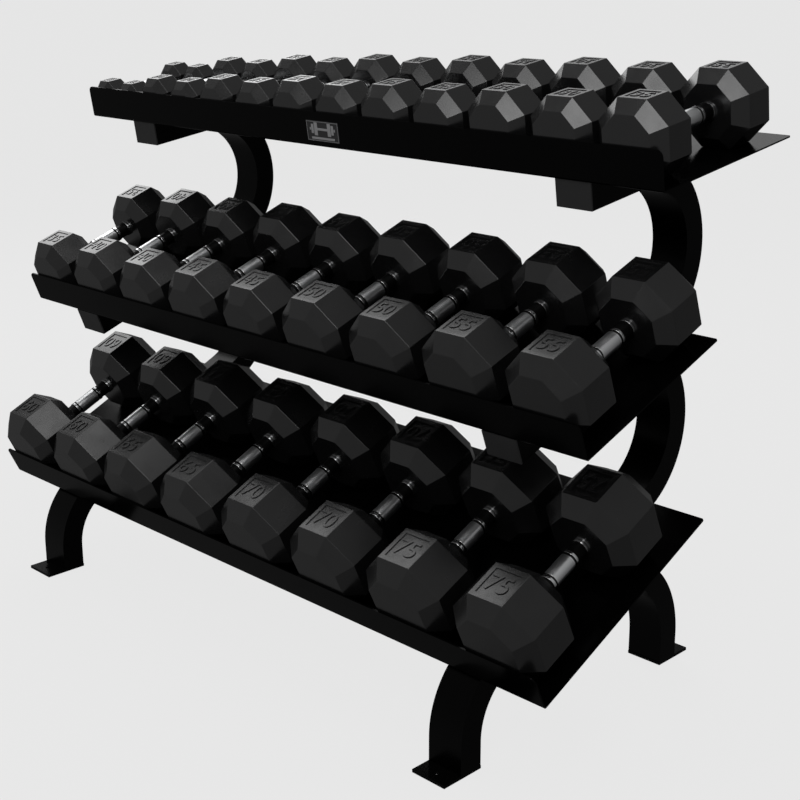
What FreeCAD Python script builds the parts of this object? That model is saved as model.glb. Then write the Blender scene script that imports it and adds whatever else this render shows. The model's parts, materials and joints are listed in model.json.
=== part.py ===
import FreeCAD, Part
import os
import math
from FreeCAD import Placement, Rotation, Vector
import Sketcher

# A three-tier dumbbell rack, loaded with thirty eight-sided dumbbells.
# X runs along the trays, +Y points to the rear and +Z up. The origin is on
# the floor, in the middle of the footprint. All lengths are in millimetres.

doc = FreeCAD.newDocument("dumbbell_rack")
sheet = doc.addObject("Spreadsheet::Sheet", "Sizes")

sizes = {
    # trays: one folded sheet each, the floor tilted up to the rear
    "tray_length": 1600.0,
    "sheet_gauge": 3.0,
    "fold_radius": 5.0,
    "lip_height": 70.0,
    "lip_corner": 12.0,
    "floor_corner": 4.0,
    "top_tilt": 8.5,
    "top_fold_y": -16.7,
    "top_fold_z": 987.6,
    "top_floor": 383.0,
    "middle_tilt": 20.2,
    "middle_fold_y": -191.0,
    "middle_fold_z": 579.8,
    "middle_floor": 382.0,
    "bottom_tilt": 24.9,
    "bottom_fold_y": -280.0,
    "bottom_fold_z": 177.9,
    "bottom_floor": 483.0,
    # uprights: bent rectangular tube on either side of the middle
    "upright_offset": 612.0,
    "tube_width": 76.0,
    "tube_depth": 50.0,
    "tube_wall": 3.0,
    "top_arm_setback": 5.0,
    "middle_arm_setback": 1.0,
    "upper_reach": 332.0,
    "lower_reach": 307.0,
    "front_bend": 145.0,
    "rear_bend": 185.0,
    "rear_lean": 45.0,
    "rear_bend_start": 52.0,
    "join_angle": 12.0,
    # feet
    "footprint_depth": 712.8,
    "plate_depth": 92.5,
    "plate_gauge": 6.0,
    "plate_toe": 41.5,
    "floor_bolt": 10.0,
    # fastenings
    "bolt_size": 8.0,
    "bolt_play": 0.4,
    "bolt_dome": 18.0,
    "dome_height": 3.5,
    "bolt_pitch": 44.0,
    "top_bolt_row": 150.0,
    "middle_bolt_row": 185.0,
    "bottom_bolt_row": 200.0,
    # name plate on the lip of the top tray
    "badge_width": 92.0,
    "badge_height": 41.0,
    "badge_gauge": 1.5,
    "badge_centre": 32.0,
    # dumbbells: head volume grows in step with the weight
    "head_base": 101500.0,
    "head_rate": 74500.0,
    "head_straight": 0.434,
    "head_bevel": 0.163,
    "grip_length": 127.0,
    "grip_dia": 32.0,
    "groove_dia": 28.5,
    "ring_dia": 33.0,
    "band_dia": 30.0,
    "collar_dia": 34.0,
    "groove_start": 26.0,
    "ring_start": 29.0,
    "band_start": 35.0,
    "collar_start": 58.5,
    "spigot_dia": 26.0,
    "spigot_length": 28.0,
    "spigot_play": 0.2,
    "head_gap": 0.2,
    "rest_gap": 0.4,
    "lip_gap": 1.0,
    "row_margin": 4.0,
}

for line, (name, value) in enumerate(sizes.items(), start=1):
    sheet.set("A%d" % line, name)
    sheet.set("B%d" % line, "%g" % value)
    sheet.setAlias("B%d" % line, name)
doc.recompute()

TIERS = ("top", "middle", "bottom")
SIDES = {"left": -1, "right": 1}
WEIGHTS = {
    "top": (5, 5, 10, 10, 15, 15, 20, 20, 25, 25, 30, 30, 35),
    "middle": (35, 40, 40, 45, 45, 50, 50, 55, 55),
    "bottom": (60, 60, 65, 65, 70, 70, 75, 75),
}
nodes = []


def size(name):
    """Read one driving size back from the sheet."""
    return float(sheet.get(name))


def named(text):
    """Turn plain size names in an expression into references to the sheet."""
    for name in sizes:
        text = text.replace("{%s}" % name, "Sizes." + name)
    return text


def bind(item, path, text):
    """Bind one property of an object to an expression in the driving sizes."""
    item.setExpression(path, named(text))


def finish_node(item, label):
    """Give a finished sub-part its node name and list it for writing."""
    item.Label = label
    nodes.append(item)
    return item


def new_body(name):
    return doc.addObject("PartDesign::Body", name)


def origin_plane(body, role):
    """Find one of the body's own three origin planes."""
    return [plane for plane in body.Origin.OriginFeatures if plane.Role == role][0]


def new_sketch(body, name, role):
    """Start a sketch on one of the body's own origin planes."""
    sketch = body.newObject("Sketcher::SketchObject", name)
    sketch.AttachmentSupport = [(origin_plane(body, role), "")]
    sketch.MapMode = "FlatFace"
    return sketch


def constrain(sketch, name, text, *details):
    """Add one named dimension to a sketch and bind it to an expression."""
    index = sketch.addConstraint(Sketcher.Constraint(*details))
    sketch.renameConstraint(index, name)
    bind(sketch, "Constraints." + name, text)


def chain(sketch, points):
    """Draw a closed run of straight lines through the points; return their numbers."""
    lines = []
    for start, end in zip(points, points[1:] + points[:1]):
        lines.append(sketch.addGeometry(Part.LineSegment(Vector(*start, 0), Vector(*end, 0)), False))
    for here, there in zip(lines, lines[1:] + lines[:1]):
        sketch.addConstraint(Sketcher.Constraint("Coincident", here, 2, there, 1))
    return lines


def rectangle(sketch, left, right, low, high):
    """Draw a rectangle whose four sides sit at bound distances from the origin.

    Each side is given as its present place and the expression that drives it.
    """
    points = [(left[0], low[0]), (right[0], low[0]), (right[0], high[0]), (left[0], high[0])]
    bottom, far, top, near = chain(sketch, points)
    for line in (bottom, top):
        sketch.addConstraint(Sketcher.Constraint("Horizontal", line))
    for line in (far, near):
        sketch.addConstraint(Sketcher.Constraint("Vertical", line))
    tag = "r%d" % bottom
    constrain(sketch, tag + "left", left[1], "DistanceX", -1, 1, near, 1, left[0])
    constrain(sketch, tag + "right", right[1], "DistanceX", -1, 1, far, 1, right[0])
    constrain(sketch, tag + "low", low[1], "DistanceY", -1, 1, bottom, 1, low[0])
    constrain(sketch, tag + "high", high[1], "DistanceY", -1, 1, top, 1, high[0])


def circle(sketch, name, centre, radius):
    """Draw a circle whose centre and radius are (present value, expression) pairs."""
    across, up = centre
    shape = Part.Circle(Vector(across[0], up[0], 0), Vector(0, 0, 1), radius[0])
    index = sketch.addGeometry(shape, False)
    constrain(sketch, name + "_across", across[1], "DistanceX", -1, 1, index, 3, across[0])
    constrain(sketch, name + "_up", up[1], "DistanceY", -1, 1, index, 3, up[0])
    constrain(sketch, name + "_radius", radius[1], "Radius", index, radius[0])


def on_tier(tier, along, above):
    """Expressions for the Y and Z of a point on a tier.

    `along` is measured up the slope from the fold, `above` square to the floor.
    """
    tilt = "{%s_tilt}" % tier
    across = "{%s_fold_y} + (%s) * cos(%s) - (%s) * sin(%s)" % (tier, along, tilt, above, tilt)
    height = "{%s_fold_z} + (%s) * sin(%s) + (%s) * cos(%s)" % (tier, along, tilt, above, tilt)
    return across, height


def place_on_tier(item, tier, along, above):
    """Stand an object on a tier, tilted with it about X."""
    across, height = on_tier(tier, along, above)
    item.Placement = Placement(Vector(0, 0, 0), Rotation(Vector(1, 0, 0), size(tier + "_tilt")))
    bind(item, "Placement.Rotation.Angle", "{%s_tilt}" % tier)
    bind(item, "Placement.Base.y", across)
    bind(item, "Placement.Base.z", height)


def tier_point(tier, along, above):
    """The same point as numbers, for the first drawing of a sketch."""
    tilt = math.radians(size(tier + "_tilt"))
    across = size(tier + "_fold_y") + along * math.cos(tilt) - above * math.sin(tilt)
    height = size(tier + "_fold_z") + along * math.sin(tilt) + above * math.cos(tilt)
    return across, height


def fillet_edges(body, base, name, radius, wanted):
    """Round every edge of the base whose centre passes the test."""
    doc.recompute()
    edges = []
    for number, edge in enumerate(base.Shape.Edges, start=1):
        if len(edge.Vertexes) == 2 and wanted(edge):
            edges.append("Edge%d" % number)
    rounding = body.newObject("PartDesign::Fillet", name)
    rounding.Base = (base, edges)
    bind(rounding, "Radius", radius)
    return rounding


# ---- trays ---------------------------------------------------------------
# Each tray is one sheet folded into an L: a floor that tilts up to the rear
# and a front lip square to it. The lip's upper corners are rounded.

BOLT_HOLES = [(side, step) for side in SIDES.values() for step in (-0.5, 0.5)]

for tier in TIERS:
    body = new_body("Tray_" + tier)
    profile = new_sketch(body, "Profile_" + tier, "YZ_Plane")
    gauge = size("sheet_gauge")
    depth = size(tier + "_floor")
    lip = size("lip_height")
    points = [(0, 0), (depth, 0), (depth, gauge), (gauge, gauge), (gauge, lip), (0, lip)]
    lines = chain(profile, points)
    for line in lines[0::2]:
        profile.addConstraint(Sketcher.Constraint("Horizontal", line))
    for line in lines[1::2]:
        profile.addConstraint(Sketcher.Constraint("Vertical", line))
    profile.addConstraint(Sketcher.Constraint("Coincident", -1, 1, lines[0], 1))
    constrain(profile, "floor", "{%s_floor}" % tier, "DistanceX", lines[0], 1, lines[0], 2, depth)
    constrain(profile, "gauge", "{sheet_gauge}", "DistanceY", lines[1], 1, lines[1], 2, gauge)
    constrain(profile, "lip_gauge", "{sheet_gauge}", "DistanceX", -1, 1, lines[3], 1, gauge)
    constrain(profile, "lip", "{lip_height}", "DistanceY", -1, 1, lines[4], 1, lip)
    sheet_pad = body.newObject("PartDesign::Pad", "Sheet_" + tier)
    sheet_pad.Profile = profile
    sheet_pad.SideType = "Symmetric"
    bind(sheet_pad, "Length", "{tray_length}")
    outer = fillet_edges(
        body, sheet_pad, "Fold_outside_" + tier, "{fold_radius}",
        lambda edge: abs(edge.CenterOfMass.x) < 1 and edge.CenterOfMass.y < 0.1
        and edge.CenterOfMass.z < 0.1)
    inner = fillet_edges(
        body, outer, "Fold_inside_" + tier, "{fold_radius} - {sheet_gauge}",
        lambda edge: abs(edge.CenterOfMass.x) < 1
        and abs(edge.CenterOfMass.y - size("sheet_gauge")) < 0.1
        and abs(edge.CenterOfMass.z - size("sheet_gauge")) < 0.1)
    corners = fillet_edges(
        body, inner, "Lip_corners_" + tier, "{lip_corner}",
        lambda edge: abs(edge.CenterOfMass.x) > size("tray_length") / 2 - 0.1
        and abs(edge.CenterOfMass.z - size("lip_height")) < 0.1)
    rear = fillet_edges(
        body, corners, "Rear_corners_" + tier, "{floor_corner}",
        lambda edge: abs(edge.CenterOfMass.x) > size("tray_length") / 2 - 0.1
        and abs(edge.CenterOfMass.y - size(tier + "_floor")) < 0.1)
    holes = new_sketch(body, "Holes_" + tier, "XY_Plane")
    for number, (side, step) in enumerate(BOLT_HOLES):
        row = "{%s_bolt_row} + %g * {bolt_pitch}" % (tier, step)
        circle(
            holes, "hole%d" % number,
            ((side * size("upright_offset"), "%d * {upright_offset}" % side),
             (size(tier + "_bolt_row") + step * size("bolt_pitch"), row)),
            (size("bolt_size") / 2 + size("bolt_play"), "{bolt_size} / 2 + {bolt_play}"))
    drill = body.newObject("PartDesign::Pocket", "Drill_" + tier)
    drill.Profile = holes
    drill.Reversed = True
    bind(drill, "Length", "2 * {sheet_gauge}")
    body.Tip = drill
    place_on_tier(body, tier, "0", "0")
    finish_node(body, "tray_" + tier)

# ---- bent tubes ----------------------------------------------------------
# Two rectangular tubes make up each upright. The upper one is a C: its upper
# arm carries the top tray, its lower arm the middle tray. The lower one is an
# S: it starts under the middle arm, swings round the rear, carries the bottom
# tray and bends down into the front leg. A shorter tube makes the rear leg.


def tube_profile(body, name, role):
    """The hollow cross-section: width along X, depth square to the run."""
    sketch = new_sketch(body, name, role)
    half = size("tube_width") / 2
    deep = size("tube_depth") / 2
    wall = size("tube_wall")
    rectangle(
        sketch,
        (-half, "-{tube_width} / 2"), (half, "{tube_width} / 2"),
        (-deep, "-{tube_depth} / 2"), (deep, "{tube_depth} / 2"))
    rectangle(
        sketch,
        (-half + wall, "{tube_wall} - {tube_width} / 2"),
        (half - wall, "{tube_width} / 2 - {tube_wall}"),
        (-deep + wall, "{tube_wall} - {tube_depth} / 2"),
        (deep - wall, "{tube_depth} / 2 - {tube_wall}"))
    return sketch


def line_between(sketch, start, end, drawn=True):
    shape = Part.LineSegment(Vector(*start, 0), Vector(*end, 0))
    return sketch.addGeometry(shape, not drawn)


def arc_about(sketch, centre, radius, start, end):
    """An arc drawn anticlockwise from the start angle to the end angle, in degrees."""
    ring = Part.Circle(Vector(*centre, 0), Vector(0, 0, 1), radius)
    return sketch.addGeometry(Part.ArcOfCircle(ring, math.radians(start), math.radians(end)), False)


def bend_between(upper, lower, reach):
    """Centre and radius of the bend that joins two tilted runs.

    The bend's centre line touches the centre lines of the runs under two
    tiers and the upright line at `reach`.
    """
    deep = size("tube_depth") / 2
    normals = []
    offsets = []
    for tier in (upper, lower):
        tilt = math.radians(size(tier + "_tilt"))
        across, height = tier_point(tier, 0, -deep)
        normals.append((-math.sin(tilt), math.cos(tilt)))
        offsets.append(-math.sin(tilt) * across + math.cos(tilt) * height)
    (a, b), (c, d) = normals
    det = a * d - b * c
    line = reach - deep

    def centre(radius):
        first = offsets[0] - radius
        second = offsets[1] + radius
        return (first * d - b * second) / det, (a * second - c * first) / det

    low = centre(0)[0] - line
    high = centre(1)[0] + 1 - line
    radius = low / (low - high)
    return centre(radius), radius


def polar(centre, radius, angle):
    turn = math.radians(angle)
    return centre[0] + radius * math.cos(turn), centre[1] + radius * math.sin(turn)


def sweep(body, name, profile, path, count):
    """Run the hollow section along the path, keeping its width along X."""
    pipe = body.newObject("PartDesign::AdditivePipe", name)
    pipe.Profile = profile
    pipe.Spine = (path, ["Edge%d" % number for number in range(1, count + 1)])
    pipe.Mode = "Binormal"
    pipe.Binormal = Vector(1, 0, 0)
    return pipe


def drill_arm(body, tier, name):
    """Drill the upper wall of an arm for the two bolts of its tray."""
    for number, step in enumerate((-0.5, 0.5)):
        hole = body.newObject("PartDesign::SubtractiveCylinder", "%s_%d" % (name, number))
        bind(hole, "Radius", "{bolt_size} / 2 + {bolt_play}")
        bind(hole, "Height", "{tube_wall} * 3")
        row = "{%s_bolt_row} + %g * {bolt_pitch}" % (tier, step)
        place_on_tier(hole, tier, row, "-2 * {tube_wall}")


def upper_tube(side):
    body = new_body("Upper_" + side)
    deep = size("tube_depth") / 2
    centre, radius = bend_between("top", "middle", size("upper_reach"))
    top_turn = 90 + size("top_tilt")
    middle_turn = size("middle_tilt") - 90
    cap = size("tube_wall")
    top_end = tier_point("top", size("top_arm_setback") + cap, -deep)
    middle_end = tier_point("middle", size("middle_arm_setback") + cap, -deep)
    path = new_sketch(body, "Upper_path_" + side, "YZ_Plane")
    top_arm = line_between(path, top_end, polar(centre, radius, top_turn))
    bend = arc_about(path, centre, radius, middle_turn, top_turn)
    middle_arm = line_between(path, polar(centre, radius, middle_turn), middle_end)
    rear = line_between(path, (centre[0] + radius, 500), (centre[0] + radius, 1100), False)
    path.addConstraint(Sketcher.Constraint("Tangent", top_arm, 2, bend, 2))
    path.addConstraint(Sketcher.Constraint("Tangent", bend, 1, middle_arm, 1))
    path.addConstraint(Sketcher.Constraint("Vertical", rear))
    constrain(path, "reach", "{upper_reach} - {tube_depth} / 2", "DistanceX", -1, 1, rear, 1,
              centre[0] + radius)
    constrain(path, "rear_low", "{middle_fold_z}", "DistanceY", -1, 1, rear, 1, 500)
    constrain(path, "rear_high", "{top_fold_z}", "DistanceY", -1, 1, rear, 2, 1100)
    for arm, vertex, point, tier in (
            (top_arm, 1, top_end, "top"), (middle_arm, 2, middle_end, "middle")):
        start = "{%s_arm_setback} + {tube_wall}" % tier
        across, height = on_tier(tier, start, "-{tube_depth} / 2")
        constrain(path, tier + "_across", across, "DistanceX", -1, 1, arm, vertex, point[0])
        constrain(path, tier + "_height", height, "DistanceY", -1, 1, arm, vertex, point[1])
    constrain(path, "top_slope", "{top_tilt}", "Angle", -1, 1, top_arm, 1,
              math.radians(size("top_tilt")))
    constrain(path, "middle_slope", "180 + {middle_tilt}", "Angle", -1, 1, middle_arm, 1,
              math.radians(180 + size("middle_tilt")))
    path.addConstraint(Sketcher.Constraint("Tangent", bend, rear))
    profile = tube_profile(body, "Upper_section_" + side, "XZ_Plane")
    across, height = on_tier("top", "{top_arm_setback} + {tube_wall}", "-{tube_depth} / 2")
    profile.AttachmentOffset = Placement(
        Vector(0, top_end[1], -top_end[0]), Rotation(Vector(1, 0, 0), size("top_tilt")))
    bind(profile, "AttachmentOffset.Base.y", height)
    bind(profile, "AttachmentOffset.Base.z", "-(%s)" % across)
    bind(profile, "AttachmentOffset.Rotation.Angle", "{top_tilt}")
    sweep(body, "Upper_sweep_" + side, profile, path, 3)
    drill_arm(body, "top", "Upper_top_hole_" + side)
    drill_arm(body, "middle", "Upper_middle_hole_" + side)
    bind(body, "Placement.Base.x", "%d * {upright_offset}" % SIDES[side])
    return finish_node(body, "upper_tube_" + side)


def meets(normal_point, turn, centre_across, distance):
    """Height of a centre that lies a set distance below a sloping line."""
    slope = math.radians(turn)
    lift = (centre_across - normal_point[0]) * math.sin(slope) - distance
    return normal_point[1] + lift / math.cos(slope)


def fixed_point(sketch, name, place, across, height):
    """A construction point bound to two expressions."""
    point = sketch.addGeometry(Part.Point(Vector(*place, 0)), True)
    constrain(sketch, name + "_across", across, "DistanceX", -1, 1, point, 1, place[0])
    constrain(sketch, name + "_height", height, "DistanceY", -1, 1, point, 1, place[1])
    return point


def trim_above(body, name, tier):
    """Cut a tube flush with the underside of the arm that carries a tier."""
    block = body.newObject("PartDesign::SubtractiveBox", name)
    bind(block, "Length", "2 * {tube_width}")
    bind(block, "Width", "2 * {%s_floor}" % tier)
    bind(block, "Height", "3 * {tube_depth}")
    place_on_tier(block, tier, "0", "-{tube_depth}")
    bind(block, "Placement.Base.x", "-{tube_width}")


def lower_tube(side):
    body = new_body("Lower_" + side)
    deep = size("tube_depth") / 2
    wide = size("front_bend")
    leg = size("plate_toe") + deep - size("footprint_depth") / 2
    start = tier_point("bottom", 0, -deep)
    tilt = size("bottom_tilt")
    knee = (leg + wide, meets(start, tilt, leg + wide, wide))
    centre, radius = bend_between("middle", "bottom", size("lower_reach"))
    open_turn = 90 + size("middle_tilt") - size("join_angle")
    foot = (leg, size("plate_gauge"))
    path = new_sketch(body, "Lower_path_" + side, "YZ_Plane")
    post = line_between(path, foot, (leg, knee[1]))
    front = arc_about(path, knee, wide, 90 + tilt, 180)
    arm = line_between(path, polar(knee, wide, 90 + tilt), polar(centre, radius, tilt - 90))
    back = arc_about(path, centre, radius, tilt - 90, open_turn)
    spoke = line_between(path, centre, polar(centre, radius, open_turn), False)
    edge = centre[0] + radius
    rear = line_between(path, (edge, start[1]), (edge, centre[1] + radius), False)
    hook = tier_point("middle", size("middle_arm_setback"), -deep)
    far = tier_point("middle", size("middle_floor"), -deep)
    guide = line_between(path, hook, far, False)
    path.addConstraint(Sketcher.Constraint("Vertical", post))
    path.addConstraint(Sketcher.Constraint("Tangent", post, 2, front, 2))
    path.addConstraint(Sketcher.Constraint("Tangent", front, 1, arm, 1))
    path.addConstraint(Sketcher.Constraint("Tangent", arm, 2, back, 1))
    constrain(path, "leg", "{plate_toe} + ({tube_depth} - {footprint_depth}) / 2",
              "DistanceX", -1, 1, post, 1, leg)
    constrain(path, "foot", "{plate_gauge}", "DistanceY", -1, 1, post, 1, foot[1])
    constrain(path, "knee", "{front_bend}", "Radius", front, wide)
    constrain(path, "slope", "{bottom_tilt}", "Angle", -1, 1, arm, 1, math.radians(tilt))
    across, height = on_tier("bottom", "0", "-{tube_depth} / 2")
    under = fixed_point(path, "under", start, across, height)
    path.addConstraint(Sketcher.Constraint("PointOnObject", under, 1, arm))
    path.addConstraint(Sketcher.Constraint("Vertical", rear))
    constrain(path, "reach", "{lower_reach} - {tube_depth} / 2", "DistanceX", -1, 1, rear, 1, edge)
    constrain(path, "rear_low", "{bottom_fold_z}", "DistanceY", -1, 1, rear, 1, start[1])
    constrain(path, "rear_high", "{middle_fold_z}", "DistanceY", -1, 1, rear, 2, centre[1] + radius)
    for vertex, point, along, tag in (
            (1, hook, "{middle_arm_setback}", "near"), (2, far, "{middle_floor}", "far")):
        across, height = on_tier("middle", along, "-{tube_depth} / 2")
        constrain(path, tag + "_across", across, "DistanceX", -1, 1, guide, vertex, point[0])
        constrain(path, tag + "_height", height, "DistanceY", -1, 1, guide, vertex, point[1])
    path.addConstraint(Sketcher.Constraint("Coincident", spoke, 1, back, 3))
    path.addConstraint(Sketcher.Constraint("Coincident", spoke, 2, back, 2))
    constrain(path, "opening", "90 + {middle_tilt} - {join_angle}", "Angle", -1, 1, spoke, 1,
              math.radians(open_turn))
    path.addConstraint(Sketcher.Constraint("Tangent", back, rear))
    path.addConstraint(Sketcher.Constraint("Tangent", back, guide))
    profile = tube_profile(body, "Lower_section_" + side, "XY_Plane")
    profile.AttachmentOffset = Placement(Vector(0, leg, foot[1]), Rotation())
    bind(profile, "AttachmentOffset.Base.y", "{plate_toe} + ({tube_depth} - {footprint_depth}) / 2")
    bind(profile, "AttachmentOffset.Base.z", "{plate_gauge}")
    sweep(body, "Lower_sweep_" + side, profile, path, 4)
    trim_above(body, "Lower_trim_" + side, "middle")
    drill_arm(body, "bottom", "Lower_hole_" + side)
    bind(body, "Placement.Base.x", "%d * {upright_offset}" % SIDES[side])
    return finish_node(body, "lower_tube_" + side)


def rear_leg(side):
    body = new_body("Rear_leg_" + side)
    deep = size("tube_depth") / 2
    wide = size("rear_bend")
    lean = size("rear_lean")
    leg = size("footprint_depth") / 2 - size("plate_toe") - deep
    centre = (leg - wide, size("rear_bend_start"))
    foot = (leg, size("plate_gauge"))
    start = tier_point("bottom", 0, -deep)
    end = tier_point("bottom", size("bottom_floor"), -deep)
    knee = polar(centre, wide, lean)
    slope = math.radians(size("bottom_tilt"))
    turn = math.radians(90 + lean)
    gap = (knee[0] - start[0]) * math.sin(slope) - (knee[1] - start[1]) * math.cos(slope)
    run = gap / math.sin(turn - slope)
    tip = (knee[0] + run * math.cos(turn), knee[1] + run * math.sin(turn))
    path = new_sketch(body, "Leg_path_" + side, "YZ_Plane")
    post = line_between(path, foot, (leg, centre[1]))
    bend = arc_about(path, centre, wide, 0, lean)
    strut = line_between(path, knee, tip)
    guide = line_between(path, start, end, False)
    path.addConstraint(Sketcher.Constraint("Vertical", post))
    path.addConstraint(Sketcher.Constraint("Tangent", post, 2, bend, 1))
    path.addConstraint(Sketcher.Constraint("Tangent", bend, 2, strut, 1))
    constrain(path, "leg", "({footprint_depth} - {tube_depth}) / 2 - {plate_toe}",
              "DistanceX", -1, 1, post, 1, leg)
    constrain(path, "foot", "{plate_gauge}", "DistanceY", -1, 1, post, 1, foot[1])
    constrain(path, "bend_start", "{rear_bend_start}", "DistanceY", -1, 1, post, 2, centre[1])
    constrain(path, "knee", "{rear_bend}", "Radius", bend, wide)
    constrain(path, "lean", "90 + {rear_lean}", "Angle", -1, 1, strut, 1, math.radians(90 + lean))
    for vertex, point, along, tag in ((1, start, "0", "near"), (2, end, "{bottom_floor}", "far")):
        across, height = on_tier("bottom", along, "-{tube_depth} / 2")
        constrain(path, tag + "_across", across, "DistanceX", -1, 1, guide, vertex, point[0])
        constrain(path, tag + "_height", height, "DistanceY", -1, 1, guide, vertex, point[1])
    path.addConstraint(Sketcher.Constraint("PointOnObject", strut, 2, guide))
    profile = tube_profile(body, "Leg_section_" + side, "XY_Plane")
    profile.AttachmentOffset = Placement(Vector(0, leg, foot[1]), Rotation())
    bind(profile, "AttachmentOffset.Base.y", "({footprint_depth} - {tube_depth}) / 2 - {plate_toe}")
    bind(profile, "AttachmentOffset.Base.z", "{plate_gauge}")
    sweep(body, "Leg_sweep_" + side, profile, path, 3)
    trim_above(body, "Leg_trim_" + side, "bottom")
    bind(body, "Placement.Base.x", "%d * {upright_offset}" % SIDES[side])
    return finish_node(body, "rear_leg_" + side)


for side in SIDES:
    upper_tube(side)
    lower_tube(side)
    rear_leg(side)

# ---- arm end caps --------------------------------------------------------
# A flat plate closes the open front end of each arm of the upper tubes.

for tier in ("top", "middle"):
    for side, sign in SIDES.items():
        cap = doc.addObject("Part::Box", "Cap_%s_%s" % (tier, side))
        bind(cap, "Length", "{tube_width}")
        bind(cap, "Width", "{tube_wall}")
        bind(cap, "Height", "{tube_depth}")
        place_on_tier(cap, tier, "{%s_arm_setback}" % tier, "-{tube_depth}")
        bind(cap, "Placement.Base.x", "%d * {upright_offset} - {tube_width} / 2" % sign)
        finish_node(cap, "arm_cap_%s_%s" % (tier, side))

# ---- foot plates ---------------------------------------------------------
# Every leg stands on a flat plate. Its toe reaches out past the leg and has
# one hole for a floor bolt.

for end, turn in (("front", 0), ("rear", 180)):
    for side, sign in SIDES.items():
        name = "%s_%s" % (end, side)
        body = new_body("Foot_" + name)
        outline = new_sketch(body, "Foot_outline_" + name, "XY_Plane")
        half = size("tube_width") / 2
        rectangle(
            outline,
            (-half, "-{tube_width} / 2"), (half, "{tube_width} / 2"),
            (0, "0"), (size("plate_depth"), "{plate_depth}"))
        circle(
            outline, "floor_bolt", ((0, "0"), (size("plate_toe") / 2, "{plate_toe} / 2")),
            (size("floor_bolt") / 2, "{floor_bolt} / 2"))
        plate = body.newObject("PartDesign::Pad", "Foot_plate_" + name)
        plate.Profile = outline
        bind(plate, "Length", "{plate_gauge}")
        body.Placement = Placement(Vector(0, 0, 0), Rotation(Vector(0, 0, 1), turn))
        bind(body, "Placement.Base.x", "%d * {upright_offset}" % sign)
        reach = "-{footprint_depth} / 2" if end == "front" else "{footprint_depth} / 2"
        bind(body, "Placement.Base.y", reach)
        finish_node(body, "foot_plate_" + name)

# ---- tray bolts ----------------------------------------------------------
# Low dome-headed bolts hold each tray to its arms, two bolts to an arm.

for tier in TIERS:
    bolts = []
    for number, (side, step) in enumerate(BOLT_HOLES):
        name = "%s_%d" % (tier, number)
        body = new_body("Bolt_" + name)
        rim = new_sketch(body, "Rim_" + name, "XY_Plane")
        circle(rim, "dome", ((0, "0"), (0, "0")), (size("bolt_dome") / 2, "{bolt_dome} / 2"))
        dome = body.newObject("PartDesign::Pad", "Dome_" + name)
        dome.Profile = rim
        bind(dome, "Length", "{dome_height}")
        rounded = body.newObject("PartDesign::Fillet", "Crown_" + name)
        doc.recompute()
        rims = [
            "Edge%d" % count for count, edge in enumerate(dome.Shape.Edges, start=1)
            if edge.CenterOfMass.z > size("dome_height") - 0.01]
        rounded.Base = (dome, rims)
        bind(rounded, "Radius", "{dome_height} - 0.8")
        stem = new_sketch(body, "Stem_" + name, "XY_Plane")
        circle(stem, "stem", ((0, "0"), (0, "0")), (size("bolt_size") / 2, "{bolt_size} / 2"))
        shank = body.newObject("PartDesign::Pad", "Shank_" + name)
        shank.Profile = stem
        shank.Reversed = True
        bind(shank, "Length", "{sheet_gauge} + {tube_wall} + {bolt_size}")
        body.Tip = shank
        row = "{%s_bolt_row} + %g * {bolt_pitch}" % (tier, step)
        place_on_tier(body, tier, row, "{sheet_gauge}")
        bind(body, "Placement.Base.x", "%d * {upright_offset}" % side)
        bolts.append(body)
    group = doc.addObject("Part::Compound", "Bolts_" + tier)
    group.Links = bolts
    finish_node(group, "tray_bolts_" + tier)

# ---- name plate ----------------------------------------------------------
# A thin plate in the middle of the top tray's lip.

badge = doc.addObject("Part::Box", "Badge")
bind(badge, "Length", "{badge_width}")
bind(badge, "Width", "{badge_gauge}")
bind(badge, "Height", "{badge_height}")
place_on_tier(badge, "top", "-{badge_gauge}", "{badge_centre} - {badge_height} / 2")
bind(badge, "Placement.Base.x", "-{badge_width} / 2")
finish_node(badge, "name_plate")

# ---- dumbbell handle -----------------------------------------------------
# One turned handle serves every dumbbell. From the middle outwards it has a
# straight grip, a groove, a ring, a narrower band and a collar that meets the
# head, and a spigot that goes into the head. The handle lies along Y with its
# middle at the origin.

handle = new_body("Handle")
turned = new_sketch(handle, "Turned", "YZ_Plane")
half_grip = size("grip_length") / 2
stations = [
    ("spigot_dia", half_grip + size("spigot_length"), "{grip_length} / 2 + {spigot_length}"),
    ("collar_dia", half_grip - size("head_gap"), "{grip_length} / 2 - {head_gap}"),
    ("band_dia", size("collar_start"), "{collar_start}"),
    ("ring_dia", size("band_start"), "{band_start}"),
    ("groove_dia", size("ring_start"), "{ring_start}"),
    ("grip_dia", size("groove_start"), "{groove_start}"),
]
steps = [(-1, name, place, text) for name, place, text in stations]
steps += [(1, name, place, text) for name, place, text in reversed(stations)]
points = []
for number, (sign, name, place, text) in enumerate(steps):
    radius = size(name) / 2
    if sign < 0:
        before = 0 if number == 0 else size(steps[number - 1][1]) / 2
        points += [(-place, before), (-place, radius)]
    else:
        after = 0 if number == len(steps) - 1 else size(steps[number + 1][1]) / 2
        points += [(place, radius), (place, after)]
lines = chain(turned, points)
turned.addConstraint(Sketcher.Constraint("PointOnObject", lines[0], 1, -1))
turned.addConstraint(Sketcher.Constraint("PointOnObject", lines[-1], 1, -1))
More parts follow.
